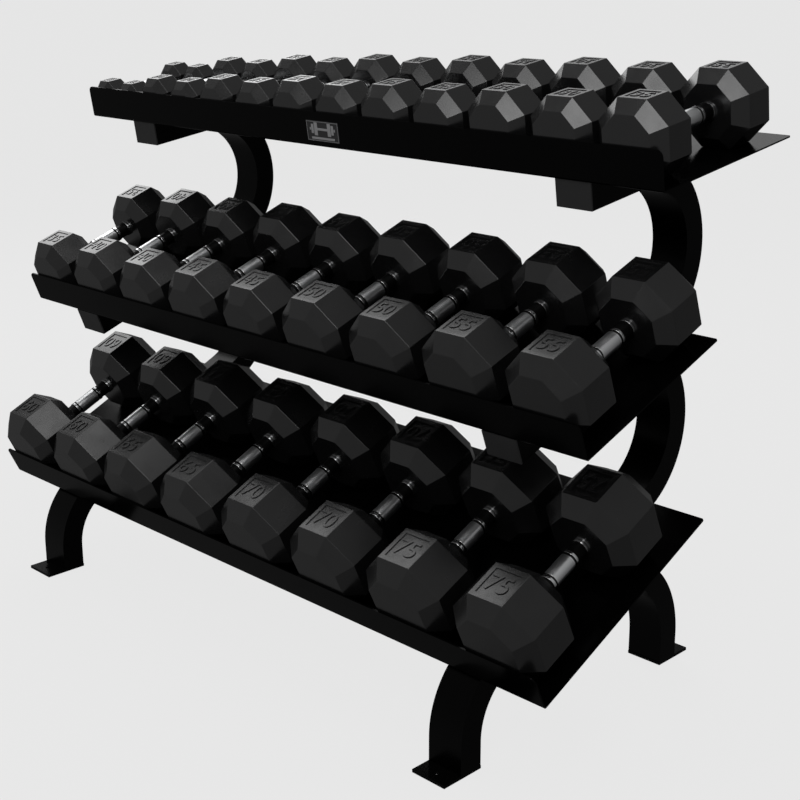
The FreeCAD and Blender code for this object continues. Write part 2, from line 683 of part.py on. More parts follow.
for number, (sign, name, place, text) in enumerate(steps):
    wall = lines[2 * number]
    turned.addConstraint(Sketcher.Constraint("Vertical", wall))
    tag = "%s_%s" % (name, "left" if sign < 0 else "right")
    bound = "-(%s)" % text if sign < 0 else text
    constrain(turned, tag, bound, "DistanceX", -1, 1, wall, 1, sign * place)
    if number < len(steps) - 1:
        run = lines[2 * number + 1]
        turned.addConstraint(Sketcher.Constraint("Horizontal", run))
        dia = name if sign < 0 else steps[number + 1][1]
        constrain(turned, "run%d" % number, "{%s} / 2" % dia, "DistanceY", -1, 1, run, 1,
                  size(dia) / 2)
spin = handle.newObject("PartDesign::Revolution", "Spin")
spin.Profile = turned
spin.ReferenceAxis = (turned, ["H_Axis"])
spin.Angle = 360

# ---- dumbbell heads ------------------------------------------------------
# Each head is an eight-sided block with a flat on top and both ends bevelled
# at 45 degrees. The heads of one weight are alike, so one is modelled and
# mirrored. The distance across flats follows the weight: the block's volume
# grows by the same amount for every pound.

heads = {}
for pounds in sorted(set(sum(WEIGHTS.values(), ()))):
    body = new_body("Head_%d" % pounds)
    own = doc.addObject("App::VarSet", "Size_%d" % pounds)
    own.addProperty("App::PropertyFloat", "Flats")
    own.addProperty("App::PropertyFloat", "Along")
    bind(own, "Flats", "cbrt({head_base} + {head_rate} * %d)" % pounds)
    bind(own, "Along", "Flats * ({head_straight} + 2 * {head_bevel})")
    doc.recompute()
    flats = own.Flats
    outline = new_sketch(body, "Octagon_%d" % pounds, "XZ_Plane")
    outline.AttachmentOffset = Placement(Vector(0, 0, half_grip), Rotation())
    bind(outline, "AttachmentOffset.Base.z", "{grip_length} / 2")
    ring = flats / 2 / math.cos(math.pi / 8)
    corners = [polar((0, 0), ring, 22.5 + 45 * step) for step in range(8)]
    lines = chain(outline, corners)
    round_line = outline.addGeometry(Part.Circle(Vector(0, 0, 0), Vector(0, 0, 1), ring), True)
    outline.addConstraint(Sketcher.Constraint("Coincident", round_line, 3, -1, 1))
    for line in lines:
        outline.addConstraint(Sketcher.Constraint("PointOnObject", line, 1, round_line))
    for line in lines[1:]:
        outline.addConstraint(Sketcher.Constraint("Equal", lines[0], line))
    outline.addConstraint(Sketcher.Constraint("Horizontal", lines[1]))
    constrain(outline, "flats", "Size_%d.Flats / 2" % pounds, "DistanceY", -1, 1, lines[1], 1,
              flats / 2)
    block = body.newObject("PartDesign::Pad", "Block_%d" % pounds)
    block.Profile = outline
    bind(block, "Length", "Size_%d.Along" % pounds)
    doc.recompute()
    ends = [
        "Face%d" % count for count, face in enumerate(block.Shape.Faces, start=1)
        if abs(face.normalAt(0, 0).y) > 0.9]
    bevel = body.newObject("PartDesign::Chamfer", "Bevel_%d" % pounds)
    bevel.Base = (block, ends)
    bind(bevel, "Size", "Size_%d.Flats * {head_bevel}" % pounds)
    mouth = new_sketch(body, "Mouth_%d" % pounds, "XZ_Plane")
    mouth.AttachmentOffset = Placement(Vector(0, 0, half_grip), Rotation())
    bind(mouth, "AttachmentOffset.Base.z", "{grip_length} / 2")
    circle(mouth, "mouth", ((0, "0"), (0, "0")),
           (size("spigot_dia") / 2 + size("spigot_play"), "{spigot_dia} / 2 + {spigot_play}"))
    socket = body.newObject("PartDesign::Pocket", "Socket_%d" % pounds)
    socket.Profile = mouth
    socket.Reversed = True
    bind(socket, "Length", "{spigot_length} + {head_gap}")
    body.Tip = socket
    doc.recompute()
    if not socket.Shape.Volume < bevel.Shape.Volume - 1000:
        raise RuntimeError("the socket of the %d lb head cuts nothing" % pounds)
    twin = doc.addObject("Part::Mirroring", "Twin_%d" % pounds)
    twin.Source = body
    twin.Normal = Vector(0, 1, 0)
    heads[pounds] = (body, twin)

# ---- dumbbells on the trays ----------------------------------------------
# Every tray carries one row. The dumbbells lie square to the tray with the
# front head just behind the lip, and the spaces between them are equal.

for tier in TIERS:
    row = WEIGHTS[tier]
    spacing = doc.addObject("App::VarSet", "Row_" + tier)
    spacing.addProperty("App::PropertyFloat", "Gap")
    total = " + ".join("Size_%d.Flats" % pounds for pounds in row)
    bind(spacing, "Gap", "({tray_length} - 2 * {row_margin} - (%s)) / %d" % (total, len(row) - 1))
    before = None
    for number, pounds in enumerate(row, start=1):
        dumbbell = doc.addObject("Part::Compound", "Dumbbell_%s_%d" % (tier, number))
        dumbbell.Links = [*heads[pounds], handle]
        middle = "{sheet_gauge} + {lip_gap} + Size_%d.Along + {grip_length} / 2" % pounds
        place_on_tier(dumbbell, tier, middle, "{sheet_gauge} + {rest_gap} + Size_%d.Flats / 2" % pounds)
        if before is None:
            across = "{row_margin} - {tray_length} / 2 + Size_%d.Flats / 2" % pounds
        else:
            across = "%s.Placement.Base.x + (Row_%s.Gap + (Size_%d.Flats + Size_%d.Flats) / 2) * 1mm" % (
                before[0].Name, tier, before[1], pounds)
        bind(dumbbell, "Placement.Base.x", across)
        before = (dumbbell, pounds)
        finish_node(dumbbell, "dumbbell_%s_%02d_%dlb" % (tier, number, pounds))

# ---- checks and files ----------------------------------------------------

doc.recompute()
faults = [item.Name for item in doc.Objects if "Invalid" in item.State or "Error" in item.State]
for item in nodes:
    if item.Shape.isNull() or not item.Shape.isValid() or not item.Shape.Solids:
        faults.append(item.Label)
if faults:
    raise RuntimeError("not built: " + ", ".join(faults))
os.makedirs("parts", exist_ok=True)
for item in nodes:
    item.Shape.exportStep("parts/%s.step" % item.Label)
print("%d nodes written" % len(nodes))
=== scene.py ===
import json
import math

import bmesh
import bpy
from mathutils import Matrix, Vector


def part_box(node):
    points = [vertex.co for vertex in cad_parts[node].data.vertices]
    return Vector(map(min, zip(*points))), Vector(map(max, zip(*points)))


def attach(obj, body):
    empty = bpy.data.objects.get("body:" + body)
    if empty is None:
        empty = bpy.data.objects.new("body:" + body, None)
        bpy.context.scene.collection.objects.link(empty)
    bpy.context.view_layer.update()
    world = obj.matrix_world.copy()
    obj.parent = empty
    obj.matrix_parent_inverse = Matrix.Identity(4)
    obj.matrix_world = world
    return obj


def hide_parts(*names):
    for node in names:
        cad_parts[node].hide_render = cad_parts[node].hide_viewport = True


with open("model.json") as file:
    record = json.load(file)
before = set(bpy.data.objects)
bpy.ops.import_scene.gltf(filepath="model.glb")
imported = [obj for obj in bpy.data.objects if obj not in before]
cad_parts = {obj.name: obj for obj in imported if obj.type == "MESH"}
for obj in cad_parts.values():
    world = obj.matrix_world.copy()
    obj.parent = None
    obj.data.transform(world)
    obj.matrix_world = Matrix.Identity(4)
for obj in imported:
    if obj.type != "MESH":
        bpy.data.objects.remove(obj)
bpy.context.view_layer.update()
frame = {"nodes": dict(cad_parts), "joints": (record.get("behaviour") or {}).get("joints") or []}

# ---- bent tubes, legs and foot plates ------------------------------------
# The two uprights are rectangular steel tube bent into deep curves, welded
# to flat foot plates, and powder coated black: a thick satin coat whose
# skin is faintly dimpled, with a little dust on what faces up.

COAT_BLACK = (0.0006, 0.0006, 0.00065, 1)
COAT_CLOUD = 0.12
COAT_DIMPLE = 0.0016
DUST_GREY = (0.004, 0.0039, 0.0037, 1)
DUST_PATCH = 0.09
DUST_SLOPE = 3.0
CLOUD_RANGE = (0.3, 0.7)
SIDES = ("left", "right")
nodes = frame["nodes"]


def add(tree, kind, **settings):
    """Adds a node. A setting that names an input sets its value, and any other sets a property."""
    node = tree.nodes.new(kind)
    inputs = {socket.name.lower().replace(" ", "_"): socket for socket in node.inputs}
    for name, value in settings.items():
        if name in inputs:
            inputs[name].default_value = value
        else:
            setattr(node, name, value)
    return node


def wire(tree, source, target):
    """Joins an output to an input."""
    tree.links.new(source, target)


def sum_of(tree, operation, first, second, third=None):
    """Adds a math node, whose inputs are sockets or plain numbers, and returns its result."""
    node = add(tree, "ShaderNodeMath", operation=operation)
    for place, value in enumerate((first, second, third)):
        if value is None:
            continue
        if isinstance(value, bpy.types.NodeSocket):
            wire(tree, value, node.inputs[place])
        else:
            node.inputs[place].default_value = value
    return node.outputs[0]


def new_group(name, inputs, outputs):
    """Starts a shader group. Inputs are (name, value) pairs, and outputs are names."""
    group = bpy.data.node_groups.new(name, "ShaderNodeTree")
    for title, value in inputs:
        socket = group.interface.new_socket(title, in_out="INPUT", socket_type="NodeSocketFloat")
        socket.default_value = value
    for title in outputs:
        group.interface.new_socket(title, in_out="OUTPUT", socket_type="NodeSocketFloat")
    return group, add(group, "NodeGroupInput"), add(group, "NodeGroupOutput")


def make_skin_group():
    """Fine dimples and broad clouds, which most finishes have at their own scales."""
    group, given, result = new_group(
        "Skin", (("Dimple Size", 0.002), ("Cloud Size", 0.1)), ("Dimples", "Clouds"))
    place = add(group, "ShaderNodeTexCoord")
    for title, detail in (("Dimple", 1.0), ("Cloud", 4.0)):
        noise = add(group, "ShaderNodeTexNoise", detail=detail, roughness=0.55)
        wire(group, place.outputs["Object"], noise.inputs["Vector"])
        scale = sum_of(group, "DIVIDE", 1.0, given.outputs[title + " Size"])
        wire(group, scale, noise.inputs["Scale"])
        wire(group, noise.outputs["Fac"], result.inputs[title + "s"])
    return group


def make_dust_group():
    """Dust lies on what faces up, in uneven patches."""
    group, given, result = new_group("Settled dust", (("Amount", 0.5), ("Patch Size", 0.08)), ("Mask",))
    place = add(group, "ShaderNodeTexCoord")
    facing = add(group, "ShaderNodeNewGeometry")
    parts = add(group, "ShaderNodeSeparateXYZ")
    wire(group, facing.outputs["Normal"], parts.inputs[0])
    noise = add(group, "ShaderNodeTexNoise", detail=6.0, roughness=0.65)
    wire(group, place.outputs["Object"], noise.inputs["Vector"])
    wire(group, sum_of(group, "DIVIDE", 1.0, given.outputs["Patch Size"]), noise.inputs["Scale"])
    upward = sum_of(group, "MAXIMUM", parts.outputs["Z"], 0.0)
    level = sum_of(group, "POWER", upward, DUST_SLOPE)
    patchy = sum_of(group, "MULTIPLY", level, noise.outputs["Fac"])
    wire(group, sum_of(group, "MULTIPLY", patchy, given.outputs["Amount"]), result.inputs["Mask"])
    return group


skin_group = make_skin_group()
dust_group = make_dust_group()


def use_group(tree, group, **values):
    """Places a group in a material with its own values."""
    node = add(tree, "ShaderNodeGroup")
    node.node_tree = group
    for name, value in values.items():
        node.inputs[name.replace("_", " ").title()].default_value = value
    return node


def new_material(name, **settings):
    """Starts a material and returns it with its tree and its shader."""
    material = bpy.data.materials.new(name)
    material.use_nodes = True
    tree = material.node_tree
    tree.nodes.clear()
    shader = add(tree, "ShaderNodeBsdfPrincipled", **settings)
    output = add(tree, "ShaderNodeOutputMaterial")
    wire(tree, shader.outputs[0], output.inputs["Surface"])
    return material, tree, shader


def blend_colour(tree, share, first, second, target):
    """Mixes two colours by a share and feeds the result to an input."""
    mix = add(tree, "ShaderNodeMix", data_type="RGBA")
    low, high = [socket for socket in mix.inputs if socket.type == "RGBA"]
    low.default_value = first
    high.default_value = second
    wire(tree, share, mix.inputs["Factor"])
    wire(tree, [socket for socket in mix.outputs if socket.type == "RGBA"][0], target)


def spread(tree, clouds, between, target):
    """Feeds an input with clouds, their usual range stretched between two values."""
    scale = add(tree, "ShaderNodeMapRange")
    wire(tree, clouds, scale.inputs["Value"])
    for ends, (low, high) in (("From", CLOUD_RANGE), ("To", between)):
        scale.inputs[ends + " Min"].default_value = low
        scale.inputs[ends + " Max"].default_value = high
    wire(tree, scale.outputs["Result"], target)


def raise_surface(tree, height, shader, strength, depth):
    """Feeds a bump of the given depth to the shader's normal."""
    bump = add(tree, "ShaderNodeBump", strength=strength, distance=depth)
    wire(tree, height, bump.inputs["Height"])
    wire(tree, bump.outputs["Normal"], shader.inputs["Normal"])


def powder_coat(name, shine, roughness, dust):
    """Black powder coat, whose gloss wanders between two roughnesses."""
    material, tree, shader = new_material(name, specular_ior_level=shine)
    skin = use_group(tree, skin_group, dimple_size=COAT_DIMPLE, cloud_size=COAT_CLOUD)
    settled = use_group(tree, dust_group, amount=dust, patch_size=DUST_PATCH)
    blend_colour(tree, settled.outputs["Mask"], COAT_BLACK, DUST_GREY, shader.inputs["Base Color"])
    spread(tree, skin.outputs["Clouds"], roughness, shader.inputs["Roughness"])
    raise_surface(tree, skin.outputs["Dimples"], shader, strength=0.12, depth=0.00008)
    return material


def dress(names, material):
    """Gives CAD nodes a finish."""
    for name in names:
        for slot in nodes[name].material_slots:
            slot.material = material


frame_coat = powder_coat("frame_powder_coat", shine=0.06, roughness=(0.18, 0.28), dust=0.5)
welded = ["%s_tube_%s" % (tube, side) for tube in ("upper", "lower") for side in SIDES]
welded += ["rear_leg_" + side for side in SIDES]
welded += ["foot_plate_%s_%s" % (end, side) for end in ("front", "rear") for side in SIDES]
dress(welded, frame_coat)

# ---- trays ---------------------------------------------------------------
# Each tray is one sheet of steel, folded up along its front edge as a lip.
# Its coat is smoother than the tubes', so it mirrors the heads that rest on
# it. It is bolted down onto the arms of the bent tubes.

TIERS = ("top", "middle", "bottom")

tray_coat = powder_coat("tray_powder_coat", shine=0.05, roughness=(0.12, 0.18), dust=0.25)
dress(["tray_" + tier for tier in TIERS], tray_coat)

# ---- arm end caps --------------------------------------------------------
# The open ends of the arms are shut with moulded black plastic caps, duller
# and greyer than the coat around them.

CAP_GREY = (0.016, 0.016, 0.0165, 1)
CAP_PALE = (0.021, 0.021, 0.0215, 1)
CAP_ROUGHNESS = (0.5, 0.62)
CAP_CLOUD = 0.02
CAP_DIMPLES = (0.0007, 0.3, 0.00006)


def clouded_finish(name, dark, pale, roughness, cloud_size, dimples=None, **settings):
    """A finish whose colour and gloss wander in clouds. Dimples are (size, strength, depth)."""
    material, tree, shader = new_material(name, **settings)
    skin = use_group(tree, skin_group, cloud_size=cloud_size)
    blend_colour(tree, skin.outputs["Clouds"], dark, pale, shader.inputs["Base Color"])
    spread(tree, skin.outputs["Clouds"], roughness, shader.inputs["Roughness"])
    if dimples:
        size, strength, depth = dimples
        skin.inputs["Dimple Size"].default_value = size
        raise_surface(tree, skin.outputs["Dimples"], shader, strength, depth)
    return material


cap_plastic = clouded_finish(
    "cap_plastic", CAP_GREY, CAP_PALE, CAP_ROUGHNESS, CAP_CLOUD, CAP_DIMPLES, specular_ior_level=0.4)
dress(["arm_cap_%s_%s" % (tier, side) for tier in ("top", "middle") for side in SIDES], cap_plastic)

# ---- tray bolts ----------------------------------------------------------
# Low dome-headed steel bolts hold the trays down, two into each arm. They are
# blackened in oil, and their crowns are worn a little paler by spanners.

BOLT_STEEL = (0.05, 0.05, 0.052, 1)
BOLT_WORN = (0.12, 0.12, 0.12, 1)
BOLT_ROUGHNESS = (0.3, 0.5)
BOLT_CLOUD = 0.006
BOLT_DIMPLES = (0.0012, 0.2, 0.00005)

bolt_steel = clouded_finish(
    "blackened_bolt", BOLT_STEEL, BOLT_WORN, BOLT_ROUGHNESS, BOLT_CLOUD, BOLT_DIMPLES, metallic=0.8)
dress(["tray_bolts_" + tier for tier in TIERS], bolt_steel)

# ---- name plate ----------------------------------------------------------
# A small pressed plate in the middle of the top lip: a dark enamelled ground
# inside a thin bright rim, with a plain raised dumbbell sign and a bar
# under it in bare brushed metal.

PLATE_LENGTH = 0.092
PLATE_HEIGHT = 0.041
PLATE_THICKNESS = 0.0015
GROUND_THICKNESS = 0.0009
PLATE_ROUNDING = 0.0002
RIM_WIDTH = 0.0009
RIM_INSET = 0.0015
UPRIGHT_TAPER = 0.97
LENGTHWISE_TAPER = 0.99
SIGN_LIFT = 0.0040
SIGN_TAPER = 0.94
# How far each part of the sign is from its middle, then its length and height:
# the handle, the inner discs, the outer discs and the ends of the handle.
SIGN_PARTS = (
    (0.0, 0.030, 0.0050),
    (0.0190, 0.0095, 0.0260),
    (0.0285, 0.0070, 0.0190),
    (0.0345, 0.0035, 0.0055))
BAR_DROP = 0.0140
BAR_LENGTH = 0.066
BAR_HEIGHT = 0.0046
BRUSHED_GREY = (0.42, 0.42, 0.43, 1)
BRUSHED_PALE = (0.62, 0.62, 0.63, 1)
BRUSHED_ROUGHNESS = (0.32, 0.5)
BRUSH_LINES = (60, 2500, 2500)
ENAMEL_BLACK = (0.010, 0.010, 0.011, 1)
ENAMEL_GREY = (0.022, 0.022, 0.023, 1)
ENAMEL_ROUGHNESS = (0.3, 0.45)
ENAMEL_CLOUD = 0.012
METAL = 0
ENAMEL = 1


def tilt_of(tier):
    """The slope of a tray, from the way its dumbbells lift off."""
    for joint in frame["joints"]:
        if joint["name"].startswith("lift_dumbbell_%s_" % tier):
            return math.atan2(-joint["axis"][1], joint["axis"][2])
    raise RuntimeError("no dumbbell lifts off the %s tray" % tier)


def middle_of(node):
    """The middle of a CAD node's box."""
    lowest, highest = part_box(node)
    return (lowest + highest) / 2


def add_block(shape, middle, size, finish, taper=1.0):
    """Adds a block to a mesh under construction, with its outer face smaller than its back."""
    made = bmesh.ops.create_cube(shape, size=1.0)["verts"]
    for corner in made:
        shrink = taper if corner.co.y < 0 else 1.0
        corner.co.x = middle[0] + corner.co.x * size[0] * shrink
        corner.co.z = middle[2] + corner.co.z * size[2] * shrink
        corner.co.y = middle[1] + corner.co.y * size[1]
    for face in {face for corner in made for face in corner.link_faces}:
        face.material_index = finish


def new_piece(name, mesh, finishes):
    """Makes an object of a mesh and puts it in the scene with its materials."""
    piece = bpy.data.objects.new(name, mesh)
    bpy.context.scene.collection.objects.link(piece)
    for finish in finishes:
        mesh.materials.append(finish)
    return piece


def settle(piece):
    """Turns what a piece's modifiers make into its own plain mesh."""
    graph = bpy.context.evaluated_depsgraph_get()
    mesh = bpy.data.meshes.new_from_object(
        piece.evaluated_get(graph), preserve_all_data_layers=True, depsgraph=graph)
    piece.modifiers.clear()
    piece.data = mesh


def round_edges(piece, width, steps, sharper_than):
    """Adds a rounding of every edge sharper than an angle in degrees."""
    rounding = piece.modifiers.new("Rounding", "BEVEL")
    rounding.width = width
    rounding.segments = steps
    rounding.limit_method = "ANGLE"
    rounding.angle_limit = math.radians(sharper_than)
    rounding.use_clamp_overlap = True


def even_shading(piece):
    """Keeps flats flat in the shading, beside small roundings."""
    for face in piece.data.polygons:
        face.use_smooth = True
    piece.modifiers.new("Flat shading", "WEIGHTED_NORMAL")


plate_metal, metal_tree, metal_shader = new_material("brushed_plate", metallic=1.0)
metal_place = add(metal_tree, "ShaderNodeTexCoord")
metal_stretch = add(metal_tree, "ShaderNodeMapping")
metal_stretch.inputs["Scale"].default_value = BRUSH_LINES
metal_lines = add(metal_tree, "ShaderNodeTexNoise", scale=1.0, detail=3.0)
wire(metal_tree, metal_place.outputs["Object"], metal_stretch.inputs["Vector"])
wire(metal_tree, metal_stretch.outputs["Vector"], metal_lines.inputs["Vector"])
blend_colour(metal_tree, metal_lines.outputs["Fac"], BRUSHED_GREY, BRUSHED_PALE,
             metal_shader.inputs["Base Color"])
spread(metal_tree, metal_lines.outputs["Fac"], BRUSHED_ROUGHNESS, metal_shader.inputs["Roughness"])
raise_surface(metal_tree, metal_lines.outputs["Fac"], metal_shader, strength=0.2, depth=0.00003)
plate_enamel = clouded_finish("plate_enamel", ENAMEL_BLACK, ENAMEL_GREY, ENAMEL_ROUGHNESS, ENAMEL_CLOUD)

plate_shape = bmesh.new()
raised = PLATE_THICKNESS - GROUND_THICKNESS
ground_y = raised / 2
relief_y = -GROUND_THICKNESS / 2
add_block(plate_shape, (0, ground_y, 0), (PLATE_LENGTH, GROUND_THICKNESS, PLATE_HEIGHT), ENAMEL)
rim_length = PLATE_LENGTH - 2 * RIM_INSET
rim_height = PLATE_HEIGHT - 2 * RIM_INSET
for side in (-1, 1):
    end_x = side * (rim_length - RIM_WIDTH) / 2
    edge_z = side * (rim_height - RIM_WIDTH) / 2
    add_block(plate_shape, (end_x, relief_y, 0), (RIM_WIDTH, raised, rim_height), METAL, UPRIGHT_TAPER)
    add_block(plate_shape, (0, relief_y, edge_z), (rim_length, raised, RIM_WIDTH), METAL, LENGTHWISE_TAPER)
for reach, length, height in SIGN_PARTS:
    for side in (-1, 1) if reach else (1,):
        add_block(
            plate_shape, (side * reach, relief_y, SIGN_LIFT), (length, raised, height), METAL, SIGN_TAPER)
add_block(plate_shape, (0, relief_y, -BAR_DROP), (BAR_LENGTH, raised, BAR_HEIGHT), METAL, LENGTHWISE_TAPER)
plate_mesh = bpy.data.meshes.new("name_plate_relief")
plate_shape.to_mesh(plate_mesh)
plate_shape.free()
name_plate = new_piece("name_plate_relief", plate_mesh, (plate_metal, plate_enamel))
round_edges(name_plate, PLATE_ROUNDING, steps=2, sharper_than=40)
even_shading(name_plate)
settle(name_plate)
name_plate.data.transform(
    Matrix.Translation(middle_of("name_plate")) @ Matrix.Rotation(tilt_of("top"), 4, "X"))
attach(name_plate, "rack")
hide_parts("name_plate")

# ---- dumbbell heads ------------------------------------------------------
# Each dumbbell has two solid steel heads cased in charcoal urethane, cast as
# eight-sided blocks with both ends bevelled. The flat on top has a sunk
# panel with the weight in raised figures, read from the head's own end.

HEAD_SIDES = 8
GRIP_LENGTH = 0.127
STRAIGHT_SHARE = 0.434
BEVEL_SHARE = 0.163
HEAD_ROUNDING = 0.0008
PANEL_SHARE = 0.77
PANEL_DEPTH_SHARE = 0.0095
FIGURE_SHARE = 0.198
FIGURE_SINK = 0.0003
FIGURE_ROUNDING = 0.0002
FIGURE_CURVE_STEPS = 5
LEVEL_FACE = 0.9999
TOUCHING = 1e-6
URETHANE_DARK = (0.0062, 0.0062, 0.0064, 1)
URETHANE_PALE = (0.0085, 0.0085, 0.0087, 1)
URETHANE_ROUGHNESS = (0.20, 0.28)
DUST_DULLING = 0.3


def new_shape_tree(name, inputs):
    """Starts a geometry tree. Inputs are (name, socket kind) pairs."""
    tree = bpy.data.node_groups.new(name, "GeometryNodeTree")
    tree.interface.new_socket("Geometry", in_out="INPUT", socket_type="NodeSocketGeometry")
    for title, kind in inputs:
        tree.interface.new_socket(title, in_out="INPUT", socket_type="NodeSocket" + kind)
    tree.interface.new_socket("Geometry", in_out="OUTPUT", socket_type="NodeSocketGeometry")
    return tree, add(tree, "NodeGroupInput").outputs, add(tree, "NodeGroupOutput")


def shape_with(piece, tree, values):
    """Adds a geometry tree to a piece and sets its named inputs."""
    modifier = piece.modifiers.new(tree.name, "NODES")
    modifier.node_group = tree
    for item in tree.interface.items_tree:
        if item.in_out == "INPUT" and item.name in values:
            modifier[item.identifier] = values[item.name]


def vector_of(tree, x=0.0, y=0.0, z=0.0):
    """Makes a vector of sockets or plain numbers."""
    node = add(tree, "ShaderNodeCombineXYZ")
    for place, value in enumerate((x, y, z)):
        if isinstance(value, bpy.types.NodeSocket):
            wire(tree, value, node.inputs[place])
        else:
            node.inputs[place].default_value = value
    return node.outputs[0]


def place_shape(tree, shape, move=None, turn=None, scale=None):
    """Moves, turns and scales a shape in a geometry tree."""
    node = add(tree, "GeometryNodeTransform")
    wire(tree, shape, node.inputs["Geometry"])
    if move is not None:
        wire(tree, move, node.inputs["Translation"])
    if turn is not None:
        node.inputs["Rotation"].default_value = turn
    if scale is not None:
        wire(tree, scale, node.inputs["Scale"])
    return node.outputs[0]


def join_shapes(tree, *shapes):
    """Joins shapes in a geometry tree."""
    node = add(tree, "GeometryNodeJoinGeometry")
    for shape in shapes:
        wire(tree, shape, node.inputs[0])
    return node.outputs[0]


def make_block_tree():
    """An eight-sided block with bevelled ends, from a drum that is three units long."""
    tree, given, result = new_shape_tree("Bevelled octagon", (
        ("Across Flats", "Float"), ("Straight", "Float"), ("Bevel", "Float"), ("Inner Face", "Float")))
    flats = given["Across Flats"]
    drum = add(tree, "GeometryNodeMeshCylinder", vertices=HEAD_SIDES, side_segments=3, depth=3.0)
    corner = sum_of(tree, "MULTIPLY", flats, 0.5 / math.cos(math.pi / HEAD_SIDES))
    wire(tree, corner, drum.inputs["Radius"])
    spot = add(tree, "ShaderNodeSeparateXYZ")
    wire(tree, add(tree, "GeometryNodeInputPosition").outputs[0], spot.inputs[0])
    height = spot.outputs["Z"]
    outermost = sum_of(tree, "GREATER_THAN", sum_of(tree, "ABSOLUTE", height, 0.0), 1.0)
    half = sum_of(tree, "MULTIPLY", given["Straight"], 0.5)
    reach = sum_of(tree, "MULTIPLY_ADD", outermost, given["Bevel"], half)
    narrowing = sum_of(tree, "DIVIDE", given["Bevel"], sum_of(tree, "MULTIPLY", flats, 0.5))
    shrink = sum_of(tree, "SUBTRACT", 1.0, sum_of(tree, "MULTIPLY", outermost, narrowing))
    moved = vector_of(
        tree,
        sum_of(tree, "MULTIPLY", spot.outputs["X"], shrink),
        sum_of(tree, "MULTIPLY", spot.outputs["Y"], shrink),
        sum_of(tree, "MULTIPLY", sum_of(tree, "SIGN", height, 0.0), reach))
    shaped = add(tree, "GeometryNodeSetPosition")
    wire(tree, drum.outputs["Mesh"], shaped.inputs["Geometry"])
    wire(tree, moved, shaped.inputs["Position"])
    flat_up = place_shape(tree, shaped.outputs[0], turn=(0, 0, math.pi / HEAD_SIDES))
    middle = sum_of(tree, "ADD", sum_of(tree, "ADD", half, given["Bevel"]), given["Inner Face"])
    lying = place_shape(
        tree, flat_up, move=vector_of(tree, y=sum_of(tree, "MULTIPLY", middle, -1.0)),
        turn=(math.pi / 2, 0, 0))
    wire(tree, lying, result.inputs[0])
    return tree


def make_figures(tree, given):
    """The weight in raised figures, sized and centred by their own box."""
    written = add(tree, "GeometryNodeStringToCurves", size=1.0)
    wire(tree, given["Number"], written.inputs["String"])
    loose = add(tree, "GeometryNodeRealizeInstances")
    wire(tree, written.outputs["Curve Instances"], loose.inputs[0])
    finer = add(tree, "GeometryNodeSetSplineResolution", resolution=FIGURE_CURVE_STEPS)
    wire(tree, loose.outputs[0], finer.inputs["Geometry"])
    filled = add(tree, "GeometryNodeFillCurve", mode="NGONS")
    wire(tree, finer.outputs[0], filled.inputs["Curve"])
    extent = add(tree, "GeometryNodeBoundBox")
    wire(tree, filled.outputs[0], extent.inputs[0])
    low = add(tree, "ShaderNodeSeparateXYZ")
    high = add(tree, "ShaderNodeSeparateXYZ")
    wire(tree, extent.outputs["Min"], low.inputs[0])
    wire(tree, extent.outputs["Max"], high.inputs[0])
    centre = []
    for axis in ("X", "Y"):
        both = sum_of(tree, "ADD", low.outputs[axis], high.outputs[axis])
        centre.append(sum_of(tree, "MULTIPLY", both, -0.5))
    tall = sum_of(tree, "SUBTRACT", high.outputs["Y"], low.outputs["Y"])
    grow = sum_of(tree, "DIVIDE", given["Figure Height"], tall)
    centred = place_shape(tree, filled.outputs[0], move=vector_of(tree, *centre))
    sized = place_shape(tree, centred, scale=vector_of(tree, grow, grow, 1.0))
    thickness = sum_of(tree, "ADD", given["Panel Depth"], FIGURE_SINK)
    risen = add(tree, "GeometryNodeExtrudeMesh", individual=False)
    wire(tree, sized, risen.inputs["Mesh"])
    wire(tree, vector_of(tree, z=1.0), risen.inputs["Offset"])
    wire(tree, thickness, risen.inputs["Offset Scale"])
    underside = add(tree, "GeometryNodeFlipFaces")
    wire(tree, sized, underside.inputs["Mesh"])
    closed = add(tree, "GeometryNodeMergeByDistance", distance=TOUCHING)
    wire(tree, join_shapes(tree, risen.outputs["Mesh"], underside.outputs[0]), closed.inputs["Geometry"])
    top = sum_of(tree, "MULTIPLY", given["Across Flats"], 0.5)
    floor = sum_of(tree, "SUBTRACT", top, thickness)
    spot = vector_of(tree, y=sum_of(tree, "MULTIPLY", given["Head Middle"], -1.0), z=floor)
    return place_shape(tree, closed.outputs[0], move=spot)


